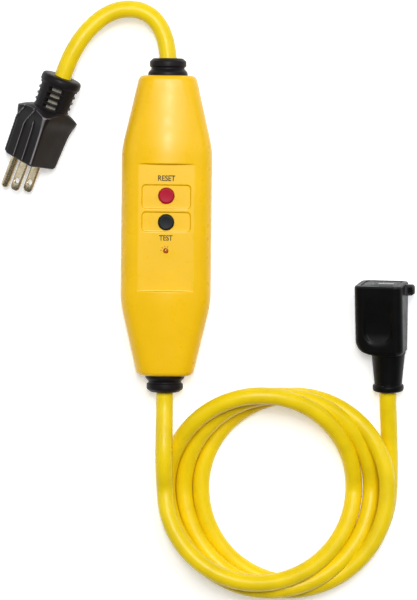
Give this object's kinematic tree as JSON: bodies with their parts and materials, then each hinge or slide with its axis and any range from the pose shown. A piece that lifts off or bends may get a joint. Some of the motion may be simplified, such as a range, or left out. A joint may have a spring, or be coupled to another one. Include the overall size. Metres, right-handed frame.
{
  "type": "in-line ground-fault cord set",
  "caption": "Portable ground-fault cord set: in-line yellow housing with reset and test buttons, a grounded plug and a coiled cord with a connector.",
  "frame": {"origin": "centre of the housing's back, on the surface it lies on", "axes": "+Y along the housing towards the plug's cord, +Z out of the front panel with the buttons"},
  "size_m": [0.2444, 0.3517, 0.04],
  "materials": {
    "yellow_housing": "satin moulded plastic",
    "seal_rubber": "matte",
    "screw_steel": "plated",
    "black_vinyl": "satin moulded vinyl",
    "red_button": "satin",
    "black_button": "satin",
    "spring_steel": "bright",
    "contact_brass": "bright",
    "indicator_orange": "clear tinted",
    "board_green": "solder mask",
    "ivory_plastic": "moulded",
    "black_plastic": "moulded",
    "coil_copper": "enamelled copper wire",
    "coil_blue": "taped winding",
    "capacitor_blue": "sleeve",
    "varistor_orange": "dipped",
    "resistor_tan": "lacquered",
    "wire_black": "insulation",
    "wire_copper": "enamelled copper",
    "wire_green": "insulation",
    "yellow_jacket": "satin vinyl jacket",
    "nickel_brass": "nickel-plated brass",
    "black_connector": "satin moulded vinyl"
  },
  "bodies": {
    "housing": {"front_cover": "yellow_housing", "rear_cover": "yellow_housing", "cover_seal": "seal_rubber", "cover_screws": "screw_steel", "line_gland": "black_vinyl", "load_gland": "black_vinyl", "reset_spring": "spring_steel", "test_spring": "spring_steel", "test_contact": "contact_brass", "indicator_lens": "indicator_orange", "indicator_led": "indicator_orange", "circuit_board": "board_green", "latch_frame": "ivory_plastic", "contact_spring": "spring_steel", "fixed_contacts": "contact_brass", "solenoid_coil": "coil_copper", "coil_cradle": "ivory_plastic", "sensing_coil": "coil_blue", "neutral_coil": "coil_blue", "control_chip": "black_plastic", "filter_capacitor": "capacitor_blue", "surge_varistor": "varistor_orange", "test_resistor": "resistor_tan", "rectifier_diodes": "black_plastic", "line_wires": "wire_black", "load_conductors": "wire_copper", "load_wires": "wire_black", "ground_wire": "wire_green", "line_cord": "yellow_jacket", "plug_body": "black_vinyl", "plug_core": "black_plastic", "hot_blade": "nickel_brass", "neutral_blade": "nickel_brass", "ground_pin": "nickel_brass", "load_cord_lead": "yellow_jacket", "load_cord_coil": "yellow_jacket", "load_cord_tail": "yellow_jacket", "connector_body": "black_connector", "connector_face": "black_plastic", "hot_contact": "contact_brass", "neutral_contact": "contact_brass", "ground_contact": "contact_brass"},
    "reset": {"reset_button": "red_button"},
    "test": {"test_button": "black_button"},
    "carrier": {"contact_carrier": "black_plastic", "moving_contacts": "contact_brass"},
    "trip": {"solenoid_plunger": "spring_steel", "latch_plate": "spring_steel"}
  },
  "joints": [
    {"name": "reset_press", "type": "slide", "parent": "housing", "child": "reset", "axis": [0, 0, -1], "range_m": [0, 0.0018], "stiffness_N_per_m": 600, "springref_m": -0.002, "deforming": ["reset_spring"]},
    {"name": "test_press", "type": "slide", "parent": "housing", "child": "test", "axis": [0, 0, -1], "range_m": [0, 0.0015], "stiffness_N_per_m": 600, "springref_m": -0.002, "deforming": ["test_spring"]},
    {"name": "contact_lift", "type": "slide", "parent": "housing", "child": "carrier", "axis": [0, 0, 1], "range_m": [0, 0.0015], "stiffness_N_per_m": 400, "springref_m": -0.002, "deforming": ["contact_spring"]},
    {"name": "trip_slide", "type": "slide", "parent": "housing", "child": "trip", "axis": [0, -1, 0], "range_m": [0, 0.0025], "stiffness_N_per_m": 300, "springref_m": -0.002}
  ]
}
